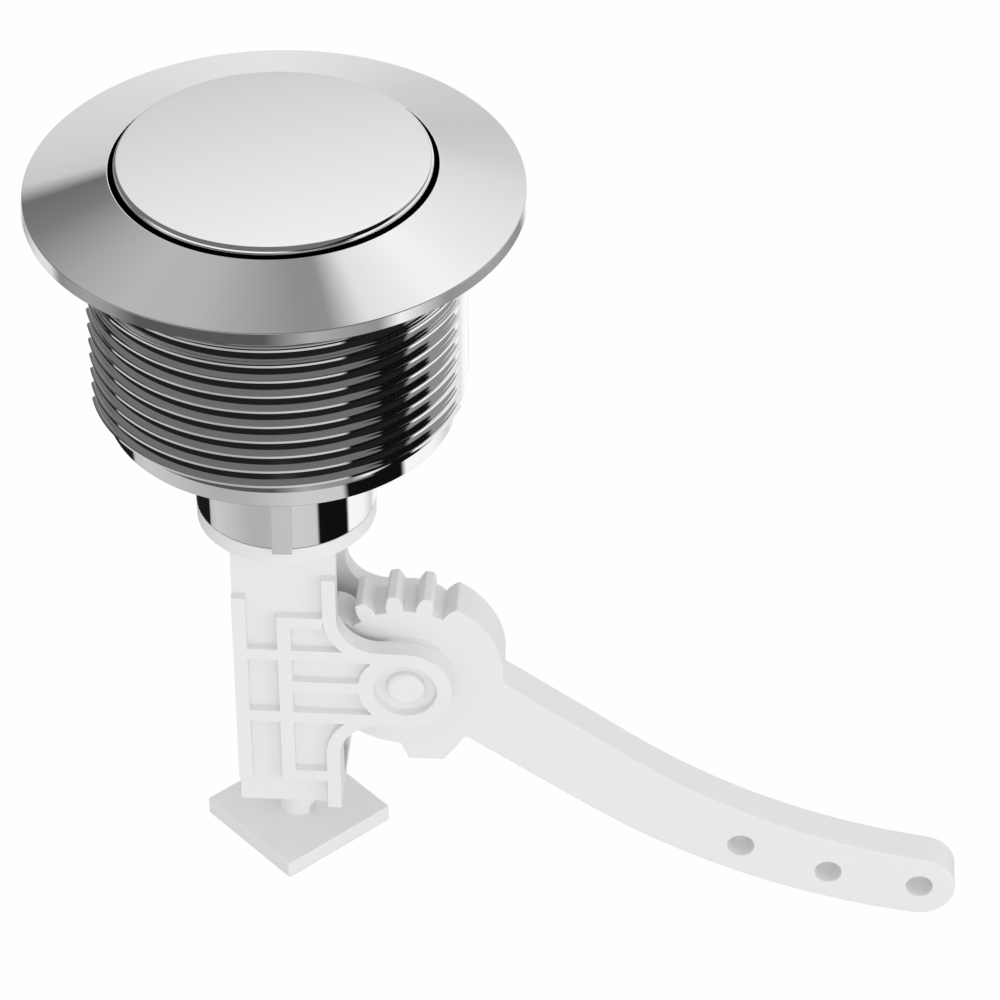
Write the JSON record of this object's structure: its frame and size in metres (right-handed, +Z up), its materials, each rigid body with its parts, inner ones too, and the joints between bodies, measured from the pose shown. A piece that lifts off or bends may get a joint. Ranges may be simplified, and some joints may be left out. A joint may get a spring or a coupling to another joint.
{
  "type": "push button cistern actuator",
  "caption": "Push button for a toilet cistern: chromed threaded bezel, and a toothed plunger in a ribbed housing that lifts a curved lever.",
  "frame": {"origin": "centre of the bezel's seat, on the plane where its flange rests on the cistern's lid", "axes": "+Z up along the button's axis, +X towards the lever's far end, +Y away from the side that the picture shows"},
  "size_m": [0.1207, 0.062, 0.1185],
  "materials": {
    "chrome": "bright plating over plastic",
    "white_plastic": "smooth moulded",
    "spring_steel": "drawn wire"
  },
  "bodies": {
    "housing": {"bezel": "chrome", "housing": "white_plastic", "pivot_pin": "white_plastic"},
    "plunger": {"button_cap": "chrome", "button_carrier": "white_plastic", "plunger_rack": "white_plastic", "foot_plate": "white_plastic", "return_spring": "spring_steel"},
    "lever": {"lever": "white_plastic"}
  },
  "joints": [
    {"name": "button_press", "type": "slide", "parent": "housing", "child": "plunger", "axis": [0, 0, -1], "range_m": [0, 0.012], "stiffness_N_per_m": 300, "springref_m": -0.01, "deforming": ["return_spring"]},
    {"name": "lever_lift", "type": "hinge", "parent": "housing", "child": "lever", "pos_m": [0.0156, 0, -0.07224], "axis": [0, -1, 0], "range_deg": [0, 60]}
  ],
  "couplings": [
    {"joint": "lever_lift", "follows": "button_press", "rad_per_m": 87.146}
  ]
}
